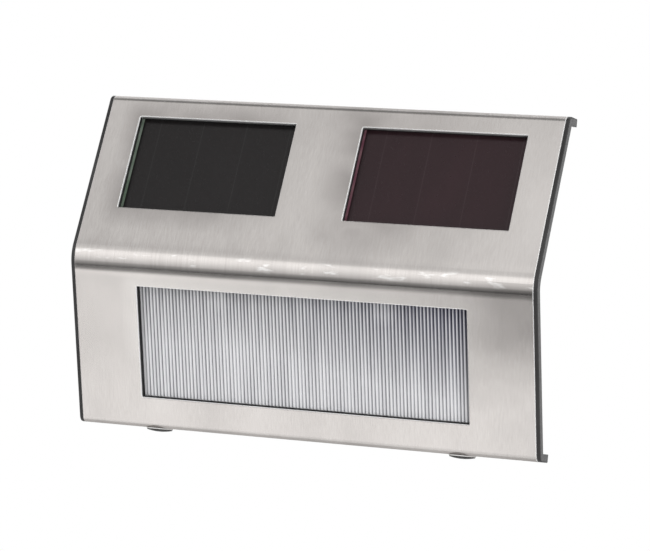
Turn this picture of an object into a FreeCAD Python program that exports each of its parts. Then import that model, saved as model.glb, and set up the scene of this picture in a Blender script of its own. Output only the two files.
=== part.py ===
import FreeCAD, Part
import math
import os
from FreeCAD import Placement, Rotation, Vector

os.makedirs("parts", exist_ok=True)

# A wall-hung solar fence light. Millimetres and degrees.
# It is drawn with y = 0 on the wall, the front towards -Y, and z = 0 at the fold of the front.
# It is saved with z = 0 on the line between the two keyholes, where it hangs.

# Front: two flat panels that lean away from each other at the fold
LEAN = 19.0
WALL_TO_FOLD = 31.5
UPPER_LEG = 65.9
LOWER_LEG = 65.3
FOLD_RADIUS = 12.0
END_RADIUS = 2.8
STEEL_WIDTH = 180.0
STEEL = 0.6
FLANGE_END = -3.2

# Windows, measured across the lamp and along their panel from the fold line
SOLAR_INNER = 13.2
SOLAR_OUTER = 77.1
SOLAR_BOTTOM = 19.8
SOLAR_TOP = 57.6
LENS_HALF = 65.0
LENS_TOP = 11.0
LENS_BOTTOM = 53.8
WINDOW_CORNER = 0.4
WINDOW_STEP = 0.4

# Housing
WALL = 2.0
OVERALL_WIDTH = 183.0
RIM = 1.3
RIM_DEPTH = 3.0
RIM_ROUND = 0.4
LIP_END = -2.2
BOX_HALF = 80.5
BOX_WALL = 1.5
BOX_BACK = -3.4
POCKET_WALL = 1.2
POCKET_GAP = 0.3
POCKET_BACK = 5.1

# Panels behind the windows; depths are square to the panel, from the outside of the steel
SEAT = 2.6
SEAL = 0.5
GLASS = 2.0
GLASS_MARGIN = 1.5
LENS_PLATE = 1.5
LENS_MARGIN = 4.0
LENS_EDGE_GAP = 0.3
RIB_PITCH = 1.37
RIB_COUNT = 93
RIB_HEIGHT = 0.45

# Screws that hold the front, under the bottom edge
FRONT_SCREW_X = 60.3
FRONT_SCREW_Y = -5.6
FRONT_SCREW_HEAD = 4.7
FRONT_SCREW_DOME = 0.9
FRONT_SCREW_SHANK = 1.5
FRONT_SCREW_LENGTH = 6.7
WASHER_RADIUS = 4.9
WASHER = 0.4

# Rear cover
COVER = 2.4
COVER_GAP = 0.15
REAR_SCREW_X = 75.6
REAR_SCREW_HEIGHTS = (44.0, -3.0, -50.0)
REAR_SCREW_HEAD = 2.6
REAR_SCREW_HEAD_HEIGHT = 1.7
REAR_SCREW_SHANK = 1.25
REAR_SCREW_LENGTH = 7.0
COUNTERBORE = 1.9
KEYHOLE_SPACING = 110.0
KEYHOLE_HEIGHT = 24.0
KEYHOLE_ENTRY = 4.5
KEYHOLE_SLOT = 2.3
KEYHOLE_TRAVEL = 9.0
HOOD_DEPTH = 7.0
HOOD_HALF = 6.0
HOOD_WALL = 1.2

# Battery bay, open to the back
BAY_HEIGHT = 6.0
BAY_HALF_LENGTH = 29.0
BAY_HALF_HEIGHT = 7.8
BAY_FRONT = -18.0
BAY_WALL = 1.2
CELL_RADIUS = 7.1
CELL_BODY = 49.2
CELL_LENGTH = 50.5
CELL_BACK = -2.9
CONTACT = 0.4
SPRING_TURNS = 4
SPRING_WIRE = 0.4
SPRING_BASE = 5.4
SPRING_TIP = 3.6
DOOR_HALF_LENGTH = 36.0
DOOR_HALF_HEIGHT = 10.3
DOOR = 1.6
DOOR_BACK = -0.1
DOOR_SEAL = 0.6
DOOR_GAP = 0.2
DOOR_SCREW_X = 32.6
DOOR_SCREW_HEAD = 2.3
DOOR_SCREW_SHANK = 1.2
DOOR_SCREW_LENGTH = 6.0

# Boards
BOARD_HALF = 41.0
BOARD_BOTTOM = 20.5
BOARD_TOP = 43.0
BOARD_FRONT = -7.0
BOARD_BACK = -5.4
BOARD_POST_X = 36.0
BOARD_POST_Z = 39.0
LED_X = 32.0
LED_Y = -17.5
LED_RADIUS = 2.5
LED_LENGTH = 8.6
LED_BOARD_HALF = 42.0
LED_BOARD = 1.2
STAKE_X = 16.0

# Light chamber
CHAMBER_HALF = 66.0
CHAMBER_TOP = -7.0
CHAMBER_BACK = -5.4
CHAMBER_BOTTOM = -51.6
CHAMBER_WALL = 1.2

# Power switch
SWITCH_X = 22.0
SWITCH_Z = 30.0
SWITCH_TRAVEL = 3.0
SWITCH_HALF_LENGTH = 4.6
SWITCH_HALF_HEIGHT = 2.4
SWITCH_ROOM = 1.8
KNOB = 2.0

COS = math.cos(math.radians(LEAN))
TAN = math.tan(math.radians(LEAN))
TOP_Z = UPPER_LEG * COS
BOTTOM_Z = -LOWER_LEG * COS
HALF_STEEL = STEEL_WIDTH / 2
HALF_WIDTH = OVERALL_WIDTH / 2
HALF_RECESS = HALF_WIDTH - RIM
PLATE_BACK = STEEL + WALL
GLASS_FRONT = SEAT + SEAL
GLASS_BACK = GLASS_FRONT + GLASS
LENS_BACK = GLASS_FRONT + LENS_PLATE
BOX_TOP = TOP_Z - PLATE_BACK
BOX_BOTTOM = BOTTOM_Z + PLATE_BACK
SHARP = 0.0


def save(name, shape):
    """Writes one piece in the part's own frame, whose origin is between the keyholes."""
    moved = shape.copy()
    moved.translate(Vector(0, 0, -KEYHOLE_HEIGHT))
    moved.exportStep("parts/" + name + ".step")
    print(f"{name}: {len(moved.Solids)} solid(s), {moved.Volume:.1f} mm3, valid {moved.isValid()}")


def fuse(pieces):
    return pieces[0].multiFuse(pieces[1:]).removeSplitter()


def block(x_low, x_high, y_low, y_high, z_low, z_high, corner=SHARP):
    """A box, with its four edges along Y rounded by corner."""
    size = (x_high - x_low, y_high - y_low, z_high - z_low)
    box = Part.makeBox(*size, Vector(x_low, y_low, z_low))
    if corner == SHARP:
        return box
    along_y = [e for e in box.Edges if abs(e.tangentAt(e.FirstParameter).y) > 0.99]
    return box.makeFillet(corner, along_y)


def rod(radius, start, end):
    axis = end - start
    return Part.makeCylinder(radius, axis.Length, start, axis)


def on_upper(shape):
    """Lays a piece drawn with y as depth and z as distance from the fold on the upper panel."""
    shape.Placement = Placement(Vector(0, -WALL_TO_FOLD, 0), Rotation(Vector(1, 0, 0), -LEAN))
    return shape


def on_lower(shape):
    """The same for the lower panel, where distance from the fold runs along -z."""
    shape.Placement = Placement(Vector(0, -WALL_TO_FOLD, 0), Rotation(Vector(1, 0, 0), LEAN))
    return shape


def solar_block(side, margin, depth_low, depth_high, corner=SHARP):
    """A block as wide and high as one solar window, larger by margin all round."""
    x_low = min(side * SOLAR_INNER, side * SOLAR_OUTER) - margin
    x_high = max(side * SOLAR_INNER, side * SOLAR_OUTER) + margin
    z_low = SOLAR_BOTTOM - margin
    z_high = SOLAR_TOP + margin
    return on_upper(block(x_low, x_high, depth_low, depth_high, z_low, z_high, corner))


def lens_block(margin, depth_low, depth_high, corner=SHARP):
    """A block as wide and high as the lens window, larger by margin all round."""
    half = LENS_HALF + margin
    z_low = -LENS_BOTTOM - margin
    z_high = -LENS_TOP + margin
    return on_lower(block(-half, half, depth_low, depth_high, z_low, z_high, corner))


def rounded_path(corners, radii):
    """Straight edges through the corners, joined by tangent arcs of the given radii."""
    edges = []
    start = corners[0]
    for index, radius in enumerate(radii, 1):
        corner = corners[index]
        incoming = (corner - corners[index - 1]).normalize()
        outgoing = (corners[index + 1] - corner).normalize()
        half_turn = incoming.getAngle(outgoing) / 2
        setback = radius * math.tan(half_turn)
        arc_start = corner - incoming * setback
        edges.append(Part.LineSegment(start, arc_start).toShape())
        start = corner + outgoing * setback
        if radius > 0:
            inward = (outgoing - incoming).normalize()
            middle = corner + inward * (radius / math.cos(half_turn) - radius)
            edges.append(Part.Arc(arc_start, middle, start).toShape())
    edges.append(Part.LineSegment(start, corners[-1]).toShape())
    return edges


def tube(points, radius, bend):
    """A round wire through the points, with every corner bent to the same radius."""
    path = Part.Wire(rounded_path(points, [bend] * (len(points) - 2)))
    circle = Part.makeCircle(radius, points[0], points[1] - points[0])
    solid = path.makePipeShell([Part.Wire(circle)], True, False)
    expected = math.pi * radius**2 * path.Length
    print(f"wire of {path.Length:.1f} mm, volume {solid.Volume:.1f}, section by length {expected:.1f}")
    return solid


def skin_y(z, depth):
    """Where a surface sunk by depth under the front stands at height z."""
    return -WALL_TO_FOLD + abs(z) * TAN + depth / COS


def skin_path(depth, y_end, x):
    """The front's side outline, sunk by depth, with its top and bottom bent back to y_end."""
    top = TOP_Z - depth
    bottom = BOTTOM_Z + depth
    corners = [
        Vector(x, y_end, top),
        Vector(x, skin_y(top, depth), top),
        Vector(x, skin_y(0, depth), 0),
        Vector(x, skin_y(bottom, depth), bottom),
        Vector(x, y_end, bottom),
    ]
    end_radius = max(END_RADIUS - depth, 0.2)
    return rounded_path(corners, [end_radius, FOLD_RADIUS - depth, end_radius])


def extruded(edges, width):
    wire = Part.Wire(Part.__sortEdges__(edges))
    return Part.Face(wire).extrude(Vector(width, 0, 0))


def band(outer, inner, y_end, x_low, x_high):
    """A folded sheet that follows the front, between two depths."""
    front = skin_path(outer, y_end, x_low)
    back = skin_path(inner, y_end, x_low)
    ends = []
    for z in (TOP_Z, BOTTOM_Z):
        inwards = -1 if z > 0 else 1
        a = Vector(x_low, y_end, z + inwards * outer)
        b = Vector(x_low, y_end, z + inwards * inner)
        ends.append(Part.LineSegment(a, b).toShape())
    return extruded(front + back + ends, x_high - x_low)


def wedge(depth, z_low, z_high, y_back, x_low, x_high):
    """Everything behind the front, from a depth under it to y_back, between two heights."""
    corners = [
        Vector(x_low, y_back, z_high),
        Vector(x_low, skin_y(z_high, depth), z_high),
        Vector(x_low, skin_y(0, depth), 0),
        Vector(x_low, skin_y(z_low, depth), z_low),
        Vector(x_low, y_back, z_low),
    ]
    path = rounded_path(corners, [SHARP, FOLD_RADIUS - depth, SHARP])
    path.append(Part.LineSegment(corners[-1], corners[0]).toShape())
    return extruded(path, x_high - x_low)


def front_cover():
    sheet = band(0, STEEL, FLANGE_END, -HALF_STEEL, HALF_STEEL)
    for side in (-1, 1):
        sheet = sheet.cut(solar_block(side, 0, -1, 2, WINDOW_CORNER))
    sheet = sheet.cut(lens_block(0, -1, 2, WINDOW_CORNER))
    for side in (-1, 1):
        centre = Vector(side * FRONT_SCREW_X, FRONT_SCREW_Y, BOTTOM_Z - 1)
        sheet = sheet.cut(rod(FRONT_SCREW_SHANK + 0.3, centre, centre + Vector(0, 0, 2)))
    return sheet


def side_rim(side):
    """The strip of the housing that shows beside the steel, rounded on its outer front edge."""
    x_low = min(side * HALF_RECESS, side * HALF_WIDTH)
    rim = band(0, RIM_DEPTH, LIP_END, x_low, x_low + RIM)
    outline = skin_path(0, LIP_END, side * HALF_WIDTH)
    middles = [e.valueAt((e.FirstParameter + e.LastParameter) / 2) for e in outline]
    edges = [e for e in rim.Edges if any(e.distToShape(Part.Vertex(m))[0] < 0.01 for m in middles)]
    return rim.makeFillet(RIM_ROUND, edges)


def rear_box():
    """The four walls that carry the rear cover."""
    outer = wedge(SEAT - 1, BOTTOM_Z + 1.6, TOP_Z - 1.6, BOX_BACK, -BOX_HALF, BOX_HALF)
    inner_half = BOX_HALF - BOX_WALL
    inner = wedge(
        PLATE_BACK,
        BOX_BOTTOM + BOX_WALL,
        BOX_TOP - BOX_WALL,
        0,
        -inner_half,
        inner_half,
    )
    return outer.cut(inner)


def pocket_frames():
    """Low walls behind the front plate that locate the two panels and the lens."""
    frames = []
    for side in (-1, 1):
        margin = GLASS_MARGIN + POCKET_GAP
        outer = solar_block(side, margin + POCKET_WALL, SEAT - 0.5, POCKET_BACK)
        frames.append(outer.cut(solar_block(side, margin, 0, POCKET_BACK + 1)))
    margin = LENS_MARGIN + POCKET_GAP
    outer = lens_block(margin + POCKET_WALL, SEAT - 0.5, LENS_BACK)
    frames.append(outer.cut(lens_block(margin, 0, LENS_BACK + 1)))
    return frames


def rear_screw_places():
    return [(side * REAR_SCREW_X, z) for side in (-1, 1) for z in REAR_SCREW_HEIGHTS]


def rear_screw_bosses():
    """Posts against the side walls, cut off behind the solar panels."""
    bosses = []
    for x, z in rear_screw_places():
        post = rod(3.2, Vector(x, -40, z), Vector(x, BOX_BACK, z))
        rib = block(min(x, x * 1.05), max(x, x * 1.05), -40, BOX_BACK, z - 1.5, z + 1.5)
        depth = GLASS_BACK + POCKET_GAP if z > SOLAR_BOTTOM else SEAT - 1
        room = wedge(depth, BOX_BOTTOM, BOX_TOP, BOX_BACK, -BOX_HALF + 0.5, BOX_HALF - 0.5)
        bosses.append(post.fuse(rib).common(room))
    return bosses


def front_screw_bosses():
    """Posts on the floor of the box that take the two front screws."""
    bosses = []
    for side in (-1, 1):
        x = side * FRONT_SCREW_X
        post = rod(3.6, Vector(x, FRONT_SCREW_Y, BOX_BOTTOM - 1), Vector(x, FRONT_SCREW_Y, -54.6))
        room = block(x - 5, x + 5, FRONT_SCREW_Y - 5, BOX_BACK, BOX_BOTTOM - 2, -50)
        bosses.append(post.common(room))
    return bosses


def housing():
    plate = band(STEEL, PLATE_BACK, LIP_END, -HALF_RECESS, HALF_RECESS)
    pieces = [plate, side_rim(-1), side_rim(1), rear_box()]
    shell = fuse(pieces + pocket_frames() + rear_screw_bosses() + front_screw_bosses())
    for side in (-1, 1):
        shell = shell.cut(solar_block(side, WINDOW_STEP, 0, SEAT + 0.2, WINDOW_CORNER))
        centre = Vector(side * FRONT_SCREW_X, FRONT_SCREW_Y, BOTTOM_Z)
        shell = shell.cut(rod(FRONT_SCREW_SHANK + 0.05, centre, centre + Vector(0, 0, 6.5)))
    shell = shell.cut(lens_block(WINDOW_STEP / 2, 0, SEAT + 0.2, WINDOW_CORNER))
    for x, z in rear_screw_places():
        shell = shell.cut(rod(REAR_SCREW_SHANK + 0.05, Vector(x, -9.4, z), Vector(x, 0, z)))
    return shell


def front_screws():
    screws = []
    for side in (-1, 1):
        head_top = Vector(side * FRONT_SCREW_X, FRONT_SCREW_Y, BOTTOM_Z - WASHER)
        rise = FRONT_SCREW_DOME - 0.3
        dome_radius = (FRONT_SCREW_HEAD**2 + rise**2) / (2 * rise)
        centre = head_top + Vector(0, 0, dome_radius - FRONT_SCREW_DOME)
        ball = Part.makeSphere(dome_radius, centre)
        head = rod(FRONT_SCREW_HEAD, head_top - Vector(0, 0, FRONT_SCREW_DOME), head_top)
        head = head.common(ball)
        recess = fuse([block(-1.9, 1.9, -0.4, 0.4, -1, 0.6), block(-0.4, 0.4, -1.9, 1.9, -1, 0.6)])
        recess.translate(head_top - Vector(0, 0, FRONT_SCREW_DOME))
        shank = rod(FRONT_SCREW_SHANK, head_top, head_top + Vector(0, 0, FRONT_SCREW_LENGTH))
        screws.append(head.fuse(shank).cut(recess))
    return Part.makeCompound(screws)


def front_washers():
    washers = []
    for side in (-1, 1):
        base = Vector(side * FRONT_SCREW_X, FRONT_SCREW_Y, BOTTOM_Z - WASHER)
        top = base + Vector(0, 0, WASHER)
        washers.append(rod(WASHER_RADIUS, base, top).cut(rod(FRONT_SCREW_SHANK + 0.2, base, top)))
    return Part.makeCompound(washers)


def solar_panel(side):
    return solar_block(side, GLASS_MARGIN, GLASS_FRONT, GLASS_BACK)


def solar_seal(side):
    outer = solar_block(side, GLASS_MARGIN, SEAT, GLASS_FRONT)
    return outer.cut(solar_block(side, WINDOW_STEP, SEAT - 1, GLASS_FRONT + 1))


def lens():
    """A clear plate with a raised centre whose face is a row of round upright ribs."""
    plate = lens_block(LENS_MARGIN, GLASS_FRONT, LENS_BACK)
    half = LENS_HALF - LENS_EDGE_GAP
    half_ribs = RIB_COUNT * RIB_PITCH / 2
    z_low = -LENS_BOTTOM + LENS_EDGE_GAP
    height = LENS_BOTTOM - LENS_TOP - 2 * LENS_EDGE_GAP
    base = GLASS_FRONT + 0.5
    corners = [
        Vector(-half_ribs, SEAT, z_low),
        Vector(-half, SEAT, z_low),
        Vector(-half, base, z_low),
        Vector(half, base, z_low),
        Vector(half, SEAT, z_low),
        Vector(half_ribs, SEAT, z_low),
    ]
    edges = [Part.LineSegment(a, b).toShape() for a, b in zip(corners, corners[1:])]
    for rib in range(RIB_COUNT):
        x = -half_ribs + rib * RIB_PITCH
        left = Vector(x, SEAT, z_low)
        crest = Vector(x + RIB_PITCH / 2, SEAT - RIB_HEIGHT, z_low)
        right = Vector(x + RIB_PITCH, SEAT, z_low)
        edges.append(Part.Arc(left, crest, right).toShape())
    face = Part.Face(Part.Wire(Part.__sortEdges__(edges)))
    ribbed = on_lower(face.extrude(Vector(0, 0, height)))
    return plate.fuse(ribbed).removeSplitter()


def lens_seal():
    outer = lens_block(LENS_MARGIN, SEAT, GLASS_FRONT)
    return outer.cut(lens_block(WINDOW_STEP / 2, SEAT - 1, GLASS_FRONT + 1))


def chamber_body(top, bottom, back, half, depth):
    """A prism behind the lens, closed in front by the plane of the lens's back."""
    corners = [
        Vector(-half, back, top),
        Vector(-half, skin_y(top, depth), top),
        Vector(-half, skin_y(bottom, depth), bottom),
        Vector(-half, back, bottom),
        Vector(-half, back, top),
    ]
    edges = [Part.LineSegment(a, b).toShape() for a, b in zip(corners, corners[1:])]
    return extruded(edges, 2 * half)


def reflector():
    """A white tray behind the lens. The LEDs hang through two holes in its top."""
    outer_half = CHAMBER_HALF + CHAMBER_WALL
    outer = chamber_body(CHAMBER_TOP, CHAMBER_BOTTOM, CHAMBER_BACK, outer_half, LENS_BACK)
    inner = chamber_body(
        CHAMBER_TOP - CHAMBER_WALL,
        CHAMBER_BOTTOM + CHAMBER_WALL,
        CHAMBER_BACK - CHAMBER_WALL,
        CHAMBER_HALF,
        LENS_BACK - 1,
    )
    tray = outer.cut(inner)
    for side in (-1, 1):
        centre = Vector(side * LED_X, LED_Y, CHAMBER_TOP - 2)
        tray = tray.cut(rod(LED_RADIUS + 0.1, centre, centre + Vector(0, 0, 3)))
        stake = Vector(side * STAKE_X, LED_Y, CHAMBER_TOP - 0.2)
        head = stake + Vector(0, 0, LED_BOARD + 0.2)
        tray = tray.fuse([rod(0.9, stake, head), rod(1.5, head, head + Vector(0, 0, 0.6))])
    return tray


def led_board():
    board = block(
        -LED_BOARD_HALF, LED_BOARD_HALF, LED_Y - 4.8, LED_Y + 4.8, CHAMBER_TOP, CHAMBER_TOP + LED_BOARD
    )
    for side in (-1, 1):
        hole = Vector(side * STAKE_X, LED_Y, CHAMBER_TOP - 1)
        board = board.cut(rod(0.95, hole, hole + Vector(0, 0, 3)))
        for pin in (-1.27, 1.27):
            foot = Vector(side * LED_X + pin, LED_Y, CHAMBER_TOP - 1)
            board = board.cut(rod(0.35, foot, foot + Vector(0, 0, 3)))
    return board


def led(side):
    """A round LED with a domed tip, hanging from the board by its two pins."""
    base = Vector(side * LED_X, LED_Y, CHAMBER_TOP)
    straight = LED_LENGTH - LED_RADIUS
    body = rod(LED_RADIUS, base - Vector(0, 0, straight), base)
    dome = Part.makeSphere(LED_RADIUS, base - Vector(0, 0, straight))
    pieces = [body, dome]
    for pin in (-1.27, 1.27):
        foot = base + Vector(pin, 0, -0.5)
        pieces.append(rod(0.3, foot, foot + Vector(0, 0, LED_BOARD + 1.1)))
    return fuse(pieces)


def main_board():
    board = block(-BOARD_HALF, BOARD_HALF, BOARD_FRONT, BOARD_BACK, BOARD_BOTTOM, BOARD_TOP)
    for side in (-1, 1):
        x = side * BOARD_POST_X
        board = board.cut(rod(1.1, Vector(x, -10, BOARD_POST_Z), Vector(x, 0, BOARD_POST_Z)))
    return board


def controller_chip():
    body = block(-3.0, 3.0, BOARD_FRONT - 1.5, BOARD_FRONT, 29.0, 33.0)
    pins = []
    for row in (-2.2, -0.75, 0.75, 2.2):
        for z_low, z_high in ((27.9, 29.2), (32.8, 34.1)):
            pins.append(block(row - 0.25, row + 0.25, BOARD_FRONT - 0.3, BOARD_FRONT, z_low, z_high))
    return fuse([body] + pins)


def boost_inductor():
    base = Vector(-16.0, BOARD_FRONT, 27.5)
    out = Vector(0, -1, 0)
    foot = rod(3.6, base, base + out * 0.8)
    core = rod(2.6, base + out * 0.8, base + out * 4.2)
    cap = rod(3.6, base + out * 4.2, base + out * 5.0)
    return fuse([foot, core, cap])


def filter_capacitor():
    base = Vector(12.0, BOARD_FRONT, 26.0)
    top = BOARD_FRONT - 5.5
    can = rod(2.5, base, Vector(base.x, top, base.z))
    return can.makeFillet(0.4, [e for e in can.Edges if abs(e.CenterOfMass.y - top) < 0.01])


def board_screws():
    screws = []
    for side in (-1, 1):
        seat = Vector(side * BOARD_POST_X, BOARD_FRONT, BOARD_POST_Z)
        head = rod(2.1, seat + Vector(0, -1.4, 0), seat)
        shank = rod(0.95, seat, seat + Vector(0, 4.0, 0))
        slot = block(-2.2, 2.2, -1.8, -0.8, -0.3, 0.3)
        slot.translate(seat)
        screws.append(head.fuse(shank).cut(slot))
    return Part.makeCompound(screws)


def door_recess(gap, y_low, y_high, corner):
    half = DOOR_HALF_LENGTH + gap
    low = BAY_HEIGHT - DOOR_HALF_HEIGHT - gap
    high = BAY_HEIGHT + DOOR_HALF_HEIGHT + gap
    return block(-half, half, y_low, y_high, low, high, corner)


def bay_block(wall, y_low, y_high):
    half = BAY_HALF_LENGTH + wall
    low = BAY_HEIGHT - BAY_HALF_HEIGHT - wall
    high = BAY_HEIGHT + BAY_HALF_HEIGHT + wall
    return block(-half, half, y_low, y_high, low, high)


def keyhole_block(side, wall, y_low, y_high):
    """The pocket behind one keyhole, where the head of the wall screw goes."""
    x = side * KEYHOLE_SPACING / 2
    half = HOOD_HALF + wall
    low = KEYHOLE_HEIGHT - HOOD_HALF + 0.5 - wall
    high = KEYHOLE_HEIGHT + KEYHOLE_TRAVEL + HOOD_HALF - 1.0 + wall
    return block(x - half, x + half, y_low, y_high, low, high)


def keyhole(side):
    x = side * KEYHOLE_SPACING / 2
    entry = rod(KEYHOLE_ENTRY, Vector(x, -COVER - 0.5, KEYHOLE_HEIGHT), Vector(x, 1, KEYHOLE_HEIGHT))
    rest = KEYHOLE_HEIGHT + KEYHOLE_TRAVEL
    top = rod(KEYHOLE_SLOT, Vector(x, -COVER - 0.5, rest), Vector(x, 1, rest))
    slot = block(x - KEYHOLE_SLOT, x + KEYHOLE_SLOT, -COVER - 0.5, 1, KEYHOLE_HEIGHT, rest)
    return fuse([entry, slot, top])


def rear_cover():
    ledge = DOOR_BACK - DOOR - DOOR_SEAL
    inside = -COVER + 0.1
    low = BOX_BOTTOM + COVER_GAP
    high = BOX_TOP - COVER_GAP
    solids = [
        block(-BOX_HALF, BOX_HALF, -COVER, 0, low, high, 1.0),
        door_recess(1.6, ledge - 1.7, inside, 1.0),
        bay_block(BAY_WALL, BAY_FRONT - BAY_WALL, inside),
    ]
    cuts = [
        door_recess(DOOR_GAP, ledge, 1, 1.2),
        bay_block(0, BAY_FRONT, 0),
    ]
    for side in (-1, 1):
        x = side * DOOR_SCREW_X
        solids.append(rod(2.6, Vector(x, -10, BAY_HEIGHT), Vector(x, inside, BAY_HEIGHT)))
        cuts.append(rod(DOOR_SCREW_SHANK + 0.05, Vector(x, -8.6, BAY_HEIGHT), Vector(x, 0, BAY_HEIGHT)))
        solids.append(keyhole_block(side, HOOD_WALL, -HOOD_DEPTH - HOOD_WALL, inside))
        cuts.append(keyhole_block(side, 0, -HOOD_DEPTH, -COVER))
        cuts.append(keyhole(side))
        x = side * BOARD_POST_X
        solids.append(rod(2.4, Vector(x, BOARD_BACK, BOARD_POST_Z), Vector(x, inside, BOARD_POST_Z)))
        cuts.append(rod(1.0, Vector(x, BOARD_BACK - 1, BOARD_POST_Z), Vector(x, -2.6, BOARD_POST_Z)))
        solids.append(block(side * 20 - 1, side * 20 + 1, CHAMBER_BACK, inside, -45, -15))
    for x, z in rear_screw_places():
        solids.append(rod(3.3, Vector(x, BOX_BACK, z), Vector(x, inside, z)))
        cuts.append(rod(REAR_SCREW_HEAD + 0.3, Vector(x, -COUNTERBORE, z), Vector(x, 1, z)))
        cuts.append(rod(REAR_SCREW_SHANK + 0.2, Vector(x, BOX_BACK - 1, z), Vector(x, 1, z)))
    cuts.append(block(SWITCH_X - 6.5, SWITCH_X + 6.5, -1.4, 1, SWITCH_Z - 4, SWITCH_Z + 4, 1.5))
    slot_half = (SWITCH_TRAVEL + KNOB) / 2 + 0.4
    slot = block(SWITCH_X - slot_half, SWITCH_X + slot_half, -3, 0, SWITCH_Z - 1.3, SWITCH_Z + 1.3)
    cuts.append(slot)
    wire_hole_z = BAY_HEIGHT + 4.5
    half = BAY_HALF_LENGTH + BAY_WALL + 1
    cuts.append(rod(0.7, Vector(-half, -12, wire_hole_z), Vector(half, -12, wire_hole_z)))
    cover = fuse(solids)
    for cut in cuts:
        cover = cover.cut(cut)
    return cover.removeSplitter()


def rear_gasket():
    inner_half = BOX_HALF - BOX_WALL
    outer = block(-BOX_HALF, BOX_HALF, BOX_BACK, -COVER, BOX_BOTTOM + COVER_GAP, BOX_TOP - COVER_GAP)
    inner = block(-inner_half, inner_half, -5, 0, BOX_BOTTOM + BOX_WALL, BOX_TOP - BOX_WALL)
    return outer.cut(inner)


def rear_cover_screws():
    screws = []
    for x, z in rear_screw_places():
        seat = Vector(x, -COUNTERBORE, z)
        head = rod(REAR_SCREW_HEAD, seat, seat + Vector(0, REAR_SCREW_HEAD_HEIGHT, 0))
        shank = rod(REAR_SCREW_SHANK, seat - Vector(0, REAR_SCREW_LENGTH, 0), seat)
        cross = fuse([block(-1.5, 1.5, 0.7, 2, -0.3, 0.3), block(-0.3, 0.3, 0.7, 2, -1.5, 1.5)])
        cross.translate(seat)
        screws.append(head.fuse(shank).cut(cross))
    return Part.makeCompound(screws)


def battery_cell():
    """A round cell lying across the lamp, its raised end to the right."""
    y = CELL_BACK - CELL_RADIUS
    tip = Vector(BAY_HALF_LENGTH - CONTACT, y, BAY_HEIGHT)
    shoulder = tip - Vector(CELL_LENGTH - CELL_BODY, 0, 0)
    body = rod(CELL_RADIUS, shoulder - Vector(CELL_BODY, 0, 0), shoulder)
    body = body.makeFillet(0.8, [e for e in body.Edges if e.Closed and e.Length > 40])
    return body.fuse(rod(2.75, shoulder - Vector(1, 0, 0), tip))


def contact_plates():
    """Two tinned plates, one at each end of the bay."""
    plates = []
    y = CELL_BACK - CELL_RADIUS
    for side in (-1, 1):
        x = side * BAY_HALF_LENGTH
        inner = x - side * CONTACT
        low = min(x, inner)
        plates.append(block(low, low + CONTACT, y - 5.8, y + 5.8, BAY_HEIGHT - 5.8, BAY_HEIGHT + 5.8))
    return Part.makeCompound(plates)


def battery_spring():
    """A conical spring: one round wire wound on quarter-turn arcs."""
    y = CELL_BACK - CELL_RADIUS
    start_x = -BAY_HALF_LENGTH + CONTACT + SPRING_WIRE
    end_x = BAY_HALF_LENGTH - CONTACT - CELL_LENGTH - SPRING_WIRE
    quarters = SPRING_TURNS * 4

    def on_spring(part):
        angle = 2 * math.pi * SPRING_TURNS * part
        radius = SPRING_BASE + (SPRING_TIP - SPRING_BASE) * part
        x = start_x + (end_x - start_x) * part
        return Vector(x, y + radius * math.cos(angle), BAY_HEIGHT + radius * math.sin(angle))

    arcs = []
    for quarter in range(quarters):
        first = on_spring(quarter / quarters)
        middle = on_spring((quarter + 0.5) / quarters)
        last = on_spring((quarter + 1) / quarters)
        arcs.append(Part.Arc(first, middle, last).toShape())
    path = Part.Wire(arcs)
    start = arcs[0].tangentAt(arcs[0].FirstParameter)
    circle = Part.makeCircle(SPRING_WIRE, on_spring(0), start)
    gap = (end_x - start_x) / SPRING_TURNS - 2 * SPRING_WIRE
    print(f"spring: {SPRING_TURNS} turns, gap between turns {gap:.2f} mm along its axis")
    return path.makePipeShell([Part.Wire(circle)], True, False)


def battery_door():
    door = door_recess(0, DOOR_BACK - DOOR, DOOR_BACK, 1.0)
    groove_half = 6.0
    for step in range(4):
        z = BAY_HEIGHT - 3 + step * 2
        door = door.cut(block(-groove_half, groove_half, DOOR_BACK - 0.5, 0, z - 0.4, z + 0.4))
    for side in (-1, 1):
        x = side * DOOR_SCREW_X
        door = door.cut(countersunk(x, 0.1, 0.05))
    return door


def countersunk(x, radial_gap, seat_gap):
    """The space of one door screw: a cone for its head and a straight shank."""
    back = Vector(x, DOOR_BACK, BAY_HEIGHT)
    head_height = 1.1
    cone = Part.makeCone(
        DOOR_SCREW_HEAD + radial_gap,
        DOOR_SCREW_SHANK + radial_gap,
        head_height + seat_gap,
        back,
        Vector(0, -1, 0),
    )
    shank = rod(DOOR_SCREW_SHANK + radial_gap, back, back - Vector(0, DOOR_SCREW_LENGTH, 0))
    return cone.fuse(shank)


def battery_door_screws():
    screws = []
    for side in (-1, 1):
        x = side * DOOR_SCREW_X
        cross = fuse([block(-1.3, 1.3, -0.6, 1, -0.3, 0.3), block(-0.3, 0.3, -0.6, 1, -1.3, 1.3)])
        cross.translate(Vector(x, DOOR_BACK, BAY_HEIGHT))
        screws.append(countersunk(x, 0, 0).cut(cross))
    return Part.makeCompound(screws)


def battery_door_seal():
    y_low = DOOR_BACK - DOOR - DOOR_SEAL
    y_high = DOOR_BACK - DOOR
    outer = block(-30.6, 30.6, y_low, y_high, BAY_HEIGHT - 9.6, BAY_HEIGHT + 9.6, 1.0)
    inner = block(-29.3, 29.3, -9, 0, BAY_HEIGHT - 8.2, BAY_HEIGHT + 8.2)
    return outer.cut(inner)


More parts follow.
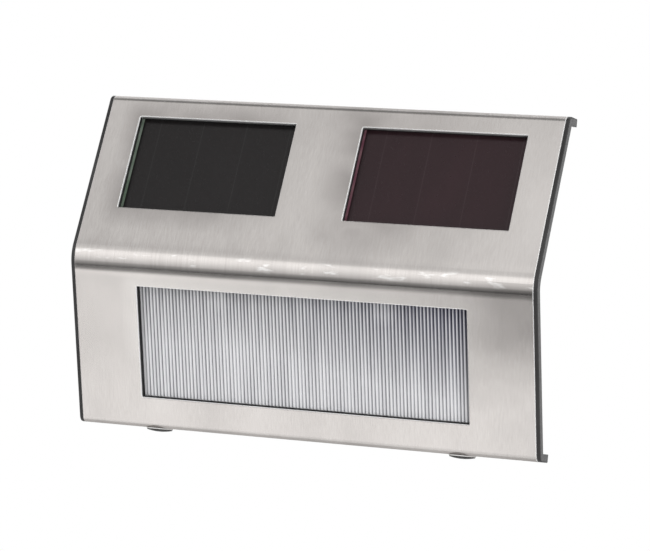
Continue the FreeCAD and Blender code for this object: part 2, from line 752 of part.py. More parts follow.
def switch_body():
    """A small slide switch on the back of the main board, hollow where its slider runs."""
    front = BOARD_BACK
    back = -COVER - 0.1
    shell = block(
        SWITCH_X - SWITCH_HALF_LENGTH,
        SWITCH_X + SWITCH_HALF_LENGTH,
        front,
        back,
        SWITCH_Z - SWITCH_HALF_HEIGHT,
        SWITCH_Z + SWITCH_HALF_HEIGHT,
    )
    half = (SWITCH_TRAVEL + KNOB) / 2 + 0.7
    low = SWITCH_Z - SWITCH_ROOM
    high = SWITCH_Z + SWITCH_ROOM
    room = block(SWITCH_X - half, SWITCH_X + half, back - 1.7, back + 1, low, high)
    return shell.cut(room)


def switch_slider():
    """The slider at off, its left end of travel, with a ridged knob that stays below the back."""
    x = SWITCH_X - SWITCH_TRAVEL / 2
    foot_back = -COVER - 0.5
    half = KNOB / 2
    reach = SWITCH_ROOM - 0.2
    low = SWITCH_Z - reach
    high = SWITCH_Z + reach
    foot = block(x - half - 0.5, x + half + 0.5, foot_back - 1.0, foot_back, low, high)
    stem = block(x - half, x + half, foot_back - 0.5, -0.4, SWITCH_Z - half, SWITCH_Z + half, 0.2)
    knob = foot.fuse(stem)
    for offset in (-0.5, 0.5):
        groove = block(x + offset - 0.15, x + offset + 0.15, -0.65, 0, SWITCH_Z - 2, SWITCH_Z + 2)
        knob = knob.cut(groove)
    return knob


def solar_wires():
    """Two leads from the back of each panel to the front of the main board."""
    wires = []
    lean = math.radians(LEAN)
    inward = Vector(0, math.cos(lean), -math.sin(lean))
    for side in (-1, 1):
        for distance in (30.0, 34.0):
            on_glass = Vector(0, -WALL_TO_FOLD + distance * math.sin(lean), distance * math.cos(lean))
            start = on_glass + inward * GLASS_BACK + Vector(side * 46, 0, 0)
            turn = start + inward * 3.2
            over = Vector(side * 39.0, turn.y, turn.z)
            end = Vector(side * 39.0, BOARD_FRONT, turn.z)
            wires.append(tube([start, turn, over, end], 0.6, 1.4))
    return Part.makeCompound(wires)


def battery_wires():
    """A lead from each contact plate, out through the bay's end wall and up to the board."""
    wires = []
    z = BAY_HEIGHT + 4.5
    for side in (-1, 1):
        start = Vector(side * BAY_HALF_LENGTH, -12, z)
        out = Vector(side * 33.5, -12, z)
        up = Vector(side * 33.5, -12, 24)
        end = Vector(side * 33.5, BOARD_FRONT, 24)
        wires.append(tube([start, out, up, end], 0.6, 2.2))
    return Part.makeCompound(wires)


def led_wires():
    """Two leads from the LED board, round the left end of the bay, up to the main board."""
    wires = []
    for x in (-37.4, -39.9):
        start = Vector(x, LED_Y, CHAMBER_TOP + LED_BOARD)
        up = Vector(x, LED_Y, 22.2)
        end = Vector(x, BOARD_FRONT, 22.2)
        wires.append(tube([start, up, end], 0.6, 3.0))
    return Part.makeCompound(wires)


save("front_cover", front_cover())
save("housing", housing())
save("front_cover_screws", front_screws())
save("front_cover_washers", front_washers())
for side, word in ((-1, "left"), (1, "right")):
    save("solar_panel_" + word, solar_panel(side))
    save("solar_seal_" + word, solar_seal(side))
    save("led_" + word, led(side))
save("lens", lens())
save("lens_seal", lens_seal())
save("reflector", reflector())
save("led_board", led_board())
save("main_board", main_board())
save("controller_chip", controller_chip())
save("boost_inductor", boost_inductor())
save("filter_capacitor", filter_capacitor())
save("board_screws", board_screws())
save("switch_body", switch_body())
save("switch_slider", switch_slider())
save("rear_cover", rear_cover())
save("rear_gasket", rear_gasket())
save("rear_cover_screws", rear_cover_screws())
save("battery_cell", battery_cell())
save("battery_contacts", contact_plates())
save("battery_spring", battery_spring())
save("battery_door", battery_door())
save("battery_door_seal", battery_door_seal())
save("battery_door_screws", battery_door_screws())
save("solar_wires", solar_wires())
save("battery_wires", battery_wires())
save("led_wires", led_wires())
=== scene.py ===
import math

import bpy
from mathutils import Matrix, Vector

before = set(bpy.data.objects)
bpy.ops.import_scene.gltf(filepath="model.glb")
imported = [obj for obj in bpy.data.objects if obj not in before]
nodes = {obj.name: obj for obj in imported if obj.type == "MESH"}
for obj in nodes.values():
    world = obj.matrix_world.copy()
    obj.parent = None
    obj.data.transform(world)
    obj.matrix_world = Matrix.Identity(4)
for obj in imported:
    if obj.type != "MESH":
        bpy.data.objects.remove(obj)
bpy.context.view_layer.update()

# The photograph's camera: metres, degrees, and its focal length in pixels of a 650 pixel wide picture
CAMERA_PLACE = Vector((0.4422, -1.0843, -0.0889))
CAMERA_AZIMUTH = 22.26
CAMERA_ELEVATION = -3.17
CAMERA_ROLL = -5.20
FOCAL_PIXELS = 3167.0
PICTURE_WIDTH = 650.0
SENSOR = 36.0
FLOOR_Z = -0.36
FLOOR_HALF = 0.45

# What the front mirrors to the camera lies around this place across the world, as a sine
MIRRORED_ACROSS = -0.384

# The mirrored studio from below to above: sine of the height, and brightness.
# Both were set by comparing the render with the photograph.
BANDS = (
    (-1.00, 0.85),
    (-0.64, 0.95),
    (-0.60, 1.08),
    (-0.56, 1.16),
    (-0.53, 1.36),
    (-0.508, 1.28),
    (-0.482, 0.08),
    (-0.39, 0.07),
    (-0.27, 0.62),
    (-0.10, 0.90),
    (0.06, 1.12),
    (0.22, 1.25),
    (0.34, 1.16),
    (0.45, 0.72),
    (0.56, 0.66),
    (0.61, 0.76),
    (0.675, 0.70),
    (0.71, 0.24),
    (1.00, 0.22),
)

# Windows in the steel, in metres: middle across, middle height, half width, half height
LEFT_WINDOW = (-0.04515, 0.0126, 0.03195, 0.0179)
RIGHT_WINDOW = (0.04515, 0.0126, 0.03195, 0.0179)
LENS_WINDOW = (0.0, -0.0546, 0.065, 0.0202)

# Places and pattern sizes in metres
FOLD_Z = -0.024
STEEL_REACH = 0.058
CELL_PITCH = 0.0176
CELL_LINE = 0.00022
LEFT_CELLS_START = -0.0765
RIGHT_CELLS_START = 0.0137
LEFT_CELL_LINE = -0.03395
RIGHT_CELL_LINE = 0.02195
RIB_PITCH = 0.00137
LENS_TOP_Z = -0.0345
LENS_BOTTOM_Z = -0.075
LED_X = 0.032
LED_Z = -0.0370


class Graph:
    """The nodes of a material or a world, with short calls to add and join them."""

    def __init__(self, owner, place="Object"):
        owner.use_nodes = True
        self.material = owner
        self.tree = owner.node_tree
        self.shader = self.tree.nodes.get("Principled BSDF")
        self.place = self.node("ShaderNodeTexCoord").outputs[place]

    def node(self, kind, inputs=None, **settings):
        made = self.tree.nodes.new(kind)
        for key, value in settings.items():
            setattr(made, key, value)
        for key, value in (inputs or {}).items():
            self.feed(made.inputs[key], value)
        return made

    def feed(self, socket, value):
        if isinstance(value, bpy.types.NodeSocket):
            self.tree.links.new(value, socket)
        else:
            socket.default_value = value

    def set(self, **values):
        for key, value in values.items():
            self.feed(self.shader.inputs[key.replace("_", " ")], value)

    def math(self, operation, first, second=0.0):
        made = self.node("ShaderNodeMath", {0: first, 1: second}, operation=operation)
        return made.outputs[0]

    def plus(self, first, second):
        return self.math("ADD", first, second)

    def minus(self, first, second):
        return self.math("SUBTRACT", first, second)

    def times(self, first, second):
        return self.math("MULTIPLY", first, second)

    def larger(self, first, second):
        return self.math("MAXIMUM", first, second)

    def absolute(self, value):
        return self.math("ABSOLUTE", value)

    def mix(self, amount, first, second):
        """One colour into another. Sockets 6, 7 and 2 are the ones that hold colours."""
        made = self.node("ShaderNodeMix", data_type="RGBA")
        self.feed(made.inputs["Factor"], amount)
        self.feed(made.inputs[6], first)
        self.feed(made.inputs[7], second)
        return made.outputs[2]

    def spread(self, value, low, high, to_low, to_high):
        inputs = {"Value": value, "From Min": low, "From Max": high, "To Min": to_low, "To Max": to_high}
        return self.node("ShaderNodeMapRange", inputs).outputs["Result"]

    def noise(self, scale, stretch=(1, 1, 1), detail=2.0):
        moved = self.node("ShaderNodeMapping", {"Vector": self.place, "Scale": stretch})
        inputs = {"Vector": moved.outputs[0], "Scale": scale, "Detail": detail}
        return self.node("ShaderNodeTexNoise", inputs).outputs["Fac"]

    def axis(self, name):
        return self.node("ShaderNodeSeparateXYZ", {0: self.place}).outputs[name]

    def normal(self, name):
        facing = self.node("ShaderNodeNewGeometry").outputs["Normal"]
        return self.node("ShaderNodeSeparateXYZ", {0: facing}).outputs[name]

    def softened(self, radius):
        """The normal, turned along the edges as if they were rounded by this radius."""
        return self.node("ShaderNodeBevel", {"Radius": radius}, samples=4).outputs[0]

    def edge(self, soft):
        """1 along edges and 0 on flat faces, where the softened normal leaves the plain one."""
        plain = self.node("ShaderNodeNewGeometry").outputs["Normal"]
        dot = self.node("ShaderNodeVectorMath", {0: soft, 1: plain}, operation="DOT_PRODUCT")
        return self.spread(dot.outputs["Value"], 1.0, 0.8, 0.0, 1.0)

    def bump(self, height, distance, strength, normal=None):
        inputs = {"Height": height, "Distance": distance, "Strength": strength}
        if normal is not None:
            inputs["Normal"] = normal
        self.set(Normal=self.node("ShaderNodeBump", inputs).outputs[0])


def new_material(name):
    return Graph(bpy.data.materials.new(name))


def grey(value):
    return (value, value, value, 1.0)


def near_window(g, window, reach):
    """1 on the steel at the edge of a window, fading to 0 at this distance from it."""
    middle, height, half_width, half_height = window
    beside = g.minus(g.absolute(g.minus(g.axis("X"), middle)), half_width)
    above = g.minus(g.absolute(g.minus(g.axis("Z"), height)), half_height)
    outward = g.node(
        "ShaderNodeCombineXYZ",
        {"X": g.larger(beside, 0.0), "Y": g.larger(above, 0.0)},
    )
    away = g.node("ShaderNodeVectorMath", {0: outward.outputs[0]}, operation="LENGTH")
    return g.spread(away.outputs["Value"], 0.0, reach, 1.0, 0.0)


def steel_shade(g):
    """Darker zones painted beside the solar windows and at the lower right, as in the photograph."""
    x = g.axis("X")
    left_amount = g.spread(x, -0.035, -0.012, 0.8, 0.15)
    right_amount = g.spread(x, 0.02, 0.07, 1.0, 0.0)
    around_left = g.times(near_window(g, LEFT_WINDOW, 0.008), left_amount)
    around_right = g.times(near_window(g, RIGHT_WINDOW, 0.016), right_amount)
    patchy = g.spread(g.noise(60.0, (1, 1, 1.6), 1.0), 0.35, 0.65, 0.5, 1.0)
    windows = g.times(g.larger(around_left, around_right), patchy)
    right_end = g.spread(x, 0.062, 0.078, 0.0, 0.55)
    above_foot = g.spread(g.axis("Z"), -0.060, -0.042, 0.0, 1.0)
    under_fold = g.math("LESS_THAN", g.axis("Z"), FOLD_Z)
    return g.larger(windows, g.times(g.times(right_end, above_foot), under_fold))


def steel_shine(g):
    """A lighter zone painted above the lens and at its left, as in the photograph."""
    above_foot = g.spread(g.axis("Z"), -0.070, -0.050, 0.0, 1.0)
    around_lens = g.times(near_window(g, LENS_WINDOW, 0.007), above_foot)
    return g.times(around_lens, g.spread(g.axis("X"), 0.02, 0.06, 0.45, 0.1))


def steel_grain(g):
    """Fine upright brush lines with a little broader streaking."""
    fine = g.noise(1.0, (2600, 900, 36), 3.0)
    broad = g.noise(1.0, (420, 120, 5), 2.0)
    return g.plus(g.times(fine, 0.85), g.times(broad, 0.15))


def steel_colour(g, grain, from_fold):
    """Grain, clouds, the painted darker and lighter zones, and scuffs on the crest of the fold that are
    partly a painted highlight.
    """
    cloud = g.noise(26.0, (1.2, 1, 0.8), 3.0)
    scuff_glint = g.spread(g.noise(420.0, (0.3, 1, 1), 2.0), 0.58, 0.70, 0.0, 1.0)
    crest = g.spread(from_fold, 0.0015, 0.0030, 1.0, 0.0)
    colour = g.mix(g.spread(grain, 0.3, 0.7, 0, 1), (0.66, 0.632, 0.618, 1), (0.74, 0.717, 0.703, 1))
    colour = g.mix(g.spread(cloud, 0.5, 0.75, 0, 0.5), colour, (0.83, 0.805, 0.79, 1))
    colour = g.mix(g.spread(cloud, 0.48, 0.25, 0, 0.7), colour, (0.56, 0.54, 0.53, 1))
    colour = g.mix(steel_shade(g), colour, (0.42, 0.40, 0.39, 1))
    colour = g.mix(steel_shine(g), colour, (0.95, 0.93, 0.91, 1))
    # Partly painted highlight: bright scuffs along the crest of the fold
    return g.mix(g.times(scuff_glint, g.times(crest, 0.8)), colour, grey(0.97))


def steel_edge_highlight(g, soft, from_fold):
    """1 on the cut faces and on the edges that face right or down, which get a painted highlight: pale and
    not metal.
    """
    turned = g.node("ShaderNodeSeparateXYZ", {0: soft}).outputs
    to_right = g.spread(turned["X"], 0.02, 0.15, 0.0, 1.0)
    down = g.spread(g.minus(g.normal("Z"), turned["Z"]), 0.03, 0.16, 0.0, 1.0)
    between_flanges = g.math("LESS_THAN", from_fold, STEEL_REACH)
    level_face = g.math("GREATER_THAN", g.absolute(g.normal("Z")), 0.9)
    upright_face = g.math("GREATER_THAN", g.absolute(g.normal("X")), 0.9)
    faces = g.larger(g.times(level_face, between_flanges), upright_face)
    return g.larger(g.larger(to_right, down), faces)


def steel_relief(g, grain, soft, from_fold):
    """The shoulders pressed beside the fold, a slight waviness of the sheet, and the grain."""
    shoulder = g.node(
        "ShaderNodeMapRange",
        {"Value": from_fold, "From Min": 0.0024, "From Max": 0.0062},
        interpolation_type="SMOOTHSTEP",
    )
    pressed = g.node(
        "ShaderNodeBump",
        {"Height": shoulder.outputs["Result"], "Distance": 0.00007, "Strength": 1.0, "Normal": soft},
    )
    wave = g.noise(55.0, (0.7, 1, 0.9), 1.0)
    wavy = g.node(
        "ShaderNodeBump",
        {"Height": wave, "Distance": 0.00008, "Strength": 1.0, "Normal": pressed.outputs[0]},
    )
    g.bump(grain, 0.00001, 0.2, wavy.outputs[0])


def brushed_steel():
    """Stainless sheet brushed up and down, smoother along the fold, with a painted highlight on its cut
    edges.
    """
    g = new_material("brushed stainless steel")
    grain = steel_grain(g)
    soft = g.softened(0.0005)
    from_fold = g.absolute(g.minus(FOLD_Z, g.axis("Z")))
    # Painted highlight: cut faces, and edges that face right or down, are pale and not metal
    cut = steel_edge_highlight(g, soft, from_fold)
    g.set(Base_Color=g.mix(cut, steel_colour(g, grain, from_fold), grey(0.98)))
    g.set(Metallic=g.minus(1.0, cut), Anisotropic=0.92)
    fold = g.spread(from_fold, 0.004, 0.008, 1.0, 0.0)
    flange = g.spread(g.absolute(g.normal("Z")), 0.55, 0.85, 0.0, 1.0)
    rough = g.minus(g.spread(grain, 0.25, 0.75, 0.165, 0.212), g.times(fold, 0.05))
    g.set(Roughness=g.plus(rough, g.times(flange, 0.8)))
    g.feed(g.shader.inputs["Tangent"], g.node("ShaderNodeCombineXYZ", {"X": 1.0}).outputs[0])
    steel_relief(g, grain, soft, from_fold)
    return g.material


def moulded_plastic(name, colour, roughness, texture=1600.0, lightening=0.05):
    """Plastic, or a dull coated metal, with a fine texture and slightly lighter edges."""
    g = new_material(name)
    fine = g.noise(texture, detail=3.0)
    patch = g.noise(45.0)
    soft = g.softened(0.00025)
    # How much lighter the random patches and the edges get
    light = tuple(c + lightening for c in colour) + (1.0,)
    base = g.mix(g.spread(patch, 0.3, 0.7, 0.0, 0.35), colour + (1.0,), light)
    base = g.mix(g.times(g.edge(soft), 0.55), base, light)
    g.set(Base_Color=base, Roughness=g.spread(fine, 0.3, 0.7, roughness - 0.07, roughness + 0.07))
    g.bump(fine, 0.00006, 0.4, soft)
    return g


def housing_plastic():
    """Black plastic, with painted light that makes the faces that look down paler, from the solar windows
    upwards.
    """
    g = moulded_plastic("black textured plastic", (0.012, 0.0115, 0.012), 0.42)
    # Painted light: faces that look down, from the solar windows upwards, are paler
    faces_down = g.math("LESS_THAN", g.normal("Z"), -0.5)
    above_fold = g.math("GREATER_THAN", g.axis("Z"), FOLD_Z + 0.016)
    base = g.shader.inputs["Base Color"].links[0].from_socket
    g.set(Base_Color=g.mix(g.times(faces_down, above_fold), base, grey(0.22)))
    return g.material


def plain_metal(name, colour, roughness):
    """Turned or plated metal with faint tool marks and brighter edges."""
    g = new_material(name)
    marks = g.noise(1500.0, detail=3.0)
    stain = g.noise(90.0)
    soft = g.softened(0.00015)
    dark = tuple(c * 0.8 for c in colour) + (1.0,)
    light = tuple(min(c * 1.3, 0.95) for c in colour) + (1.0,)
    base = g.mix(g.spread(stain, 0.3, 0.7, 0.0, 0.6), colour + (1.0,), dark)
    base = g.mix(g.times(g.edge(soft), 0.6), base, light)
    g.set(Base_Color=base, Metallic=1.0)
    g.set(Roughness=g.spread(marks, 0.3, 0.7, roughness - 0.06, roughness + 0.08))
    g.bump(marks, 0.00003, 0.3, soft)
    return g.material


def rubber(name, colour):
    g = new_material(name)
    fine = g.noise(2600.0, detail=4.0)
    broad = g.noise(160.0)
    light = tuple(c * 1.5 + 0.01 for c in colour) + (1.0,)
    g.set(Base_Color=g.mix(g.spread(broad, 0.3, 0.7, 0, 1), colour + (1.0,), light))
    g.set(Roughness=g.spread(fine, 0.3, 0.7, 0.62, 0.82))
    g.bump(fine, 0.00005, 0.5)
    return g.material


def solar_glass(name, one_line, start, colour, line_colour, margin_and_light_colour):
    """Dark thin-film cells under glass, parted by fine upright lines, with a paler strip at the left that is
    partly bare glass and partly painted light from the lit left wall of the window.
    """
    g = new_material(name)
    step = g.math("DIVIDE", g.minus(g.axis("X"), one_line), CELL_PITCH)
    # A line lies at each whole step, where the fraction of the step and 40.5 is one half
    away = g.absolute(g.minus(g.math("FRACT", g.plus(step, 40.5)), 0.5))
    line = g.spread(away, CELL_LINE / CELL_PITCH, 0.0, 0.0, 1.0)
    cloud = g.noise(70.0, (1, 1, 0.4))
    fine = g.noise(2200.0, (1, 1, 0.2), 3.0)
    dark = tuple(c * 0.78 for c in colour) + (1.0,)
    base = g.mix(g.spread(cloud, 0.3, 0.7, 0, 1), colour + (1.0,), dark)
    base = g.mix(g.times(line, 0.5), base, line_colour + (1.0,))
    # A paler strip at the left: partly bare glass, partly painted light from the lit left wall of the window
    margin_and_light = g.spread(g.axis("X"), start - 0.0001, start + 0.0001, 1.0, 0.0)
    base = g.mix(margin_and_light, base, g.mix(g.spread(g.noise(160.0), 0.35, 0.65, 0.0, 1.0), *margin_and_light_colour))
    g.set(Base_Color=base, Specular_IOR_Level=0.4)
    g.set(Roughness=g.spread(fine, 0.3, 0.7, 0.27, 0.33))
    g.bump(fine, 0.000003, 0.1)
    return g.material


def ribbed_lens():
    """Ribbed plastic. Painted light and shade: the light line of each rib, the shade of the chamber, and a
    lighter patch in front of each LED.
    """
    g = new_material("clear ribbed plastic")
    x = g.axis("X")
    down = g.spread(g.axis("Z"), LENS_TOP_Z, LENS_BOTTOM_Z, 0.0, 1.0)
    # A whole number is added, so that the count of ribs isn't negative
    step = g.math("FRACT", g.plus(g.math("DIVIDE", x, RIB_PITCH), 100.0))
    wave = g.math("COSINE", g.times(step, 2 * math.pi))
    wobble = g.spread(g.noise(1.0, (500, 1, 22), 1.0), 0.3, 0.7, -0.35, 0.35)
    wave = g.plus(wave, wobble)
    bright = g.spread(wave, 0.25, 0.90, 0.0, 1.0)
    dark = g.spread(wave, -0.45, -0.95, 0.0, 1.0)
    right = g.spread(x, -0.02, 0.06, 0.0, 1.0)
    shade_end = g.spread(x, -0.02, 0.065, 0.50, 0.86)
    lower = g.spread(g.math("DIVIDE", down, shade_end), 0.0, 1.0, 0.0, 1.0)
    lower = g.math("POWER", lower, g.spread(x, 0.0, 0.06, 1.0, 1.4))
    body = g.mix(right, (0.41, 0.41, 0.43, 1), (0.11, 0.11, 0.165, 1))
    body = g.mix(lower, body, (0.75, 0.75, 0.78, 1))
    valley = g.mix(right, (0.19, 0.19, 0.21, 1), (0.012, 0.013, 0.028, 1))
    valley = g.mix(lower, valley, (0.40, 0.40, 0.42, 1))
    crest = g.mix(right, (0.82, 0.82, 0.83, 1), (0.70, 0.70, 0.73, 1))
    crest = g.mix(lower, crest, (0.98, 0.98, 0.99, 1))
    # Painted light: a lighter patch in front of each LED
    spots = g.larger(led_spot(g, -1), led_spot(g, 1))
    body = g.mix(g.times(spots, 0.4), body, crest)
    fine = g.noise(900.0, (1, 1, 0.3), 2.0)
    g.set(Base_Color=g.mix(bright, g.mix(dark, body, valley), crest), Transmission_Weight=0.2, IOR=1.49)
    g.set(Roughness=g.spread(fine, 0.3, 0.7, 0.14, 0.24))
    g.bump(fine, 0.00002, 0.2)
    return g.material


def led_spot(g, side):
    """1 in front of one LED, fading to 0 around it."""
    centre = (side * LED_X, 0.0, LED_Z)
    flat = g.node("ShaderNodeVectorMath", {0: g.place, 1: (1, 0, 1)}, operation="MULTIPLY")
    away = g.node("ShaderNodeVectorMath", {0: flat.outputs[0], 1: centre}, operation="DISTANCE")
    return g.spread(away.outputs["Value"], 0.002, 0.006, 1.0, 0.0)


def clear_resin(name, colour):
    g = new_material(name)
    fine = g.noise(700.0)
    g.set(Base_Color=g.mix(g.spread(fine, 0.3, 0.7, 0, 1), colour + (1.0,), (0.9, 0.88, 0.8, 1.0)))
    g.set(Roughness=g.spread(fine, 0.3, 0.7, 0.05, 0.15), Transmission_Weight=0.5, IOR=1.5)
    return g.material


def circuit_board():
    """Green lacquer over copper tracks."""
    g = new_material("lacquered circuit board")
    inputs = {"Vector": g.place, "Scale": 260.0}
    cells = g.node("ShaderNodeTexVoronoi", inputs, distance="MANHATTAN", feature="DISTANCE_TO_EDGE")
    track = g.spread(cells.outputs["Distance"], 0.06, 0.12, 1.0, 0.0)
    fine = g.noise(1500.0)
    base = g.mix(g.times(track, 0.7), (0.012, 0.10, 0.035, 1), (0.04, 0.22, 0.09, 1))
    g.set(Base_Color=base, Roughness=g.spread(fine, 0.3, 0.7, 0.22, 0.36), Coat_Weight=0.4)
    g.bump(track, 0.00004, 0.4)
    return g.material


def cell_wrap():
    """Shrink film with a plain copper-coloured band near the raised end, and bare steel at both ends."""
    g = new_material("shrink film on steel cell")
    x = g.axis("X")
    band = g.spread(x, 0.0120, 0.0121, 0.0, 1.0)
    steel = g.larger(g.spread(x, 0.0272, 0.0273, 0, 1), g.spread(x, -0.0217, -0.0216, 1, 0))
    fine = g.noise(800.0, detail=3.0)
    base = g.mix(band, (0.02, 0.13, 0.06, 1), (0.45, 0.22, 0.06, 1))
    base = g.mix(steel, base, (0.6, 0.6, 0.58, 1))
    g.set(Base_Color=base, Metallic=steel, Roughness=g.spread(fine, 0.3, 0.7, 0.25, 0.38))
    g.bump(fine, 0.00003, 0.2)
    return g.material


def dress(material, *names):
    for name in names:
        mesh = nodes[name].data
        mesh.materials.clear()
        mesh.materials.append(material)


def dress_all():
    dress(brushed_steel(), "front_cover")
    dress(housing_plastic(), "housing")
    dress(
        moulded_plastic("black back plastic", (0.026, 0.026, 0.028), 0.55).material,
        "rear_cover",
        "battery_door",
    )
    dress(
        rubber("black seal rubber", (0.012, 0.012, 0.012)),
        "rear_gasket",
        "solar_seal_left",
        "solar_seal_right",
        "lens_seal",
        "battery_door_seal",
    )
    green = ((0.13, 0.19, 0.13, 1), (0.24, 0.29, 0.24, 1))
    grey_cells = solar_glass(
        "grey cells", LEFT_CELL_LINE, LEFT_CELLS_START, (0.007, 0.0055, 0.006), (0.03, 0.03, 0.03), green
    )
    dress(grey_cells, "solar_panel_left")
    red = ((0.16, 0.05, 0.08, 1), (0.26, 0.14, 0.16, 1))
    brown_cells = solar_glass(
        "brown cells", RIGHT_CELL_LINE, RIGHT_CELLS_START, (0.020, 0.0065, 0.0095), (0.05, 0.032, 0.036), red
    )
    dress(brown_cells, "solar_panel_right")
    dress(ribbed_lens(), "lens")
    dress(moulded_plastic("white chamber plastic", (0.78, 0.78, 0.77), 0.4, 900.0).material, "reflector")
    dress(clear_resin("led resin", (0.85, 0.8, 0.55)), "led_left", "led_right")
    dress(circuit_board(), "led_board", "main_board")
    dress(moulded_plastic("chip resin", (0.015, 0.015, 0.016), 0.45).material, "controller_chip")
    dress(moulded_plastic("ferrite", (0.04, 0.04, 0.043), 0.6).material, "boost_inductor")
    dress(plain_metal("capacitor can", (0.62, 0.62, 0.64), 0.3), "filter_capacitor")
    dress(
        plain_metal("zinc plated steel", (0.55, 0.56, 0.55), 0.28),
        "rear_cover_screws",
        "board_screws",
        "battery_door_screws",
    )
    dark_screw = moulded_plastic("blackened screw steel", (0.01, 0.01, 0.01), 0.6, 2200.0, 0.02)
    dress(dark_screw.material, "front_cover_screws")
    dull_steel = moulded_plastic("dull washer steel", (0.62, 0.61, 0.60), 0.5, 2200.0)
    dress(dull_steel.material, "front_cover_washers")
    dress(plain_metal("nickel plate", (0.66, 0.63, 0.56), 0.22), "battery_contacts", "battery_spring")
    dress(plain_metal("switch can steel", (0.6, 0.6, 0.6), 0.32), "switch_body")
    dress(moulded_plastic("switch knob plastic", (0.02, 0.02, 0.02), 0.3).material, "switch_slider")
    dress(cell_wrap(), "battery_cell")
    dress(rubber("red wire", (0.45, 0.015, 0.015)), "solar_wires")
    dress(rubber("black wire", (0.015, 0.015, 0.015)), "battery_wires")
    dress(rubber("white wire", (0.6, 0.6, 0.58)), "led_wires")


def make_camera():
    azimuth = math.radians(CAMERA_AZIMUTH)
    elevation = math.radians(CAMERA_ELEVATION)
    roll = math.radians(CAMERA_ROLL)
    flat = math.cos(elevation)
    forward = Vector((-math.sin(azimuth) * flat, math.cos(azimuth) * flat, -math.sin(elevation)))
    level = forward.cross(Vector((0, 0, 1))).normalized()
    right = level * math.cos(roll) + forward.cross(level) * math.sin(roll)
    up = right.cross(forward)
    data = bpy.data.cameras.new("camera")
    data.sensor_width = SENSOR
    data.lens = FOCAL_PIXELS / PICTURE_WIDTH * SENSOR
    camera = bpy.data.objects.new("camera", data)
    turned = Matrix((right, up, -forward)).transposed().to_4x4()
    camera.matrix_world = Matrix.Translation(CAMERA_PLACE) @ turned
    bpy.context.scene.collection.objects.link(camera)
    bpy.context.scene.camera = camera


def mirrored_bands(g, across, height):
    """Soft bands of light and shade. The low ones lean a little to one side."""
    low = g.spread(height, -0.50, -0.43, 1.0, 0.0)
    lean = g.times(g.minus(across, MIRRORED_ACROSS), 0.24)
    lean = g.plus(lean, g.spread(across, -0.352, -0.320, 0.0, 0.058))
    tilted = g.plus(height, g.times(lean, low))
    ramp = g.node("ShaderNodeValToRGB", {0: g.spread(tilted, -1.0, 1.0, 0.0, 1.0)})
    stops = ramp.color_ramp.elements
    while len(stops) < len(BANDS):
        stops.new(0.5)
    for stop, (sine, level) in zip(stops, BANDS):
        stop.position = (sine + 1) / 2
        stop.color = (level, level * 0.985, level * 0.97, 1)
    return ramp.outputs["Color"]


def make_world():
    """White where the camera looks, and soft bands of light and shade for what reflects."""
    world = bpy.data.worlds.new("studio")
    bpy.context.scene.world = world
    g = Graph(world, "Generated")
    across = g.axis("X")
    height = g.axis("Z")
    depth = g.axis("Y")
    overhead = g.spread(height, 0.40, 0.60, 0.0, 1.0)
    sideways = g.spread(across, -0.46, -0.30, -0.20, 0.30)
    strength = g.plus(1.0, g.times(overhead, sideways))
    aside = g.spread(g.absolute(g.minus(across, MIRRORED_ACROSS)), 0.25, 0.5, 0.0, 0.8)
    front = g.mix(aside, mirrored_bands(g, across, height), grey(0.85))
    rear = g.mix(g.spread(depth, 0.62, 0.90, 0.0, 1.0), grey(1.12), grey(0.42))
    colour = g.mix(g.spread(depth, 0.0, 0.2, 0.0, 1.0), front, rear)
    glossy = g.node("ShaderNodeBackground", {"Color": colour, "Strength": strength})
    plain = g.node("ShaderNodeBackground", {"Color": grey(1), "Strength": 0.75})
    white = g.node("ShaderNodeBackground", {"Color": grey(1), "Strength": 1.0})
    path = g.node("ShaderNodeLightPath").outputs
    lit = g.node("ShaderNodeMixShader", {0: path["Is Glossy Ray"], 1: plain.outputs[0], 2: glossy.outputs[0]})
    seen = g.larger(path["Is Camera Ray"], path["Is Transmission Ray"])
    rays = g.node("ShaderNodeMixShader", {0: seen, 1: lit.outputs[0], 2: white.outputs[0]})
    g.tree.links.new(rays.outputs[0], g.tree.nodes["World Output"].inputs["Surface"])


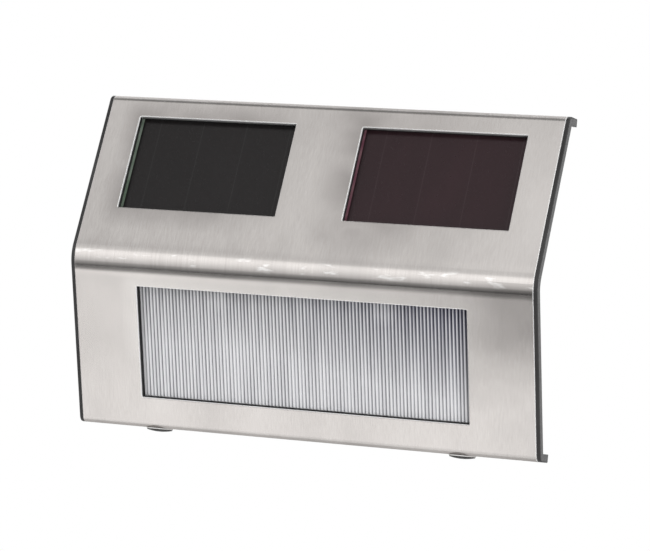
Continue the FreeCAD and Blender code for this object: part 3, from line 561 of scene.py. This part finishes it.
def make_floor():
    """A pale floor well below the lamp, white to the camera but for the lamp's shadow. In reflections it
    glows, with a painted shadow of the lamp at its middle.
    """
    mesh = bpy.data.meshes.new("floor")
    corners = [(x * FLOOR_HALF, y * FLOOR_HALF, FLOOR_Z) for x, y in ((-1, -1), (1, -1), (1, 1), (-1, 1))]
    mesh.from_pydata(corners, [], [(0, 1, 2, 3)])
    floor = bpy.data.objects.new("floor", mesh)
    bpy.context.scene.collection.objects.link(floor)
    g = new_material("pale floor")
    diffuse = g.node("ShaderNodeBsdfDiffuse", {"Color": grey(0.12)})
    glow = g.node("ShaderNodeEmission", {"Color": grey(1), "Strength": 0.92})
    seen = g.node("ShaderNodeAddShader", {0: diffuse.outputs[0], 1: glow.outputs[0]})
    other = g.node("ShaderNodeBsdfDiffuse", {"Color": grey(0.7)})
    # In reflections the floor glows, with a painted shadow of the lamp at its middle
    centre = g.node("ShaderNodeVectorMath", {0: g.place, 1: (0, 0, FLOOR_Z)}, operation="DISTANCE")
    level = g.spread(centre.outputs["Value"], 0.2, 0.34, 0.85, 1.05)
    bright = g.node("ShaderNodeEmission", {"Color": (1, 0.985, 0.97, 1), "Strength": level})
    path = g.node("ShaderNodeLightPath").outputs
    glossy = path["Is Glossy Ray"]
    rest = g.node("ShaderNodeMixShader", {0: glossy, 1: other.outputs[0], 2: bright.outputs[0]})
    final = g.node("ShaderNodeMixShader", {0: path["Is Camera Ray"], 1: rest.outputs[0], 2: seen.outputs[0]})
    g.tree.links.new(final.outputs[0], g.tree.nodes["Material Output"].inputs["Surface"])
    mesh.materials.append(g.material)


def make_lamp(name, place, size, power, shines=False):
    """A square soft light that faces the object's origin, seen in glossy things if it shines."""
    data = bpy.data.lights.new(name, "AREA")
    data.size = size
    data.energy = power
    lamp = bpy.data.objects.new(name, data)
    lamp.location = place
    lamp.rotation_euler = (-Vector(place)).to_track_quat("-Z", "Y").to_euler()
    lamp.visible_glossy = shines
    bpy.context.scene.collection.objects.link(lamp)


dress_all()
make_camera()
make_world()
make_floor()
make_lamp("key light", (-0.9, -1.3, 1.1), 0.7, 14.0)
make_lamp("fill light", (1.4, -0.9, -0.1), 0.7, 8.0)
make_lamp("rim light", (0.6, 1.4, 0.1), 0.6, 1.3, shines=True)

scene = bpy.context.scene
scene.view_settings.view_transform = "Standard"
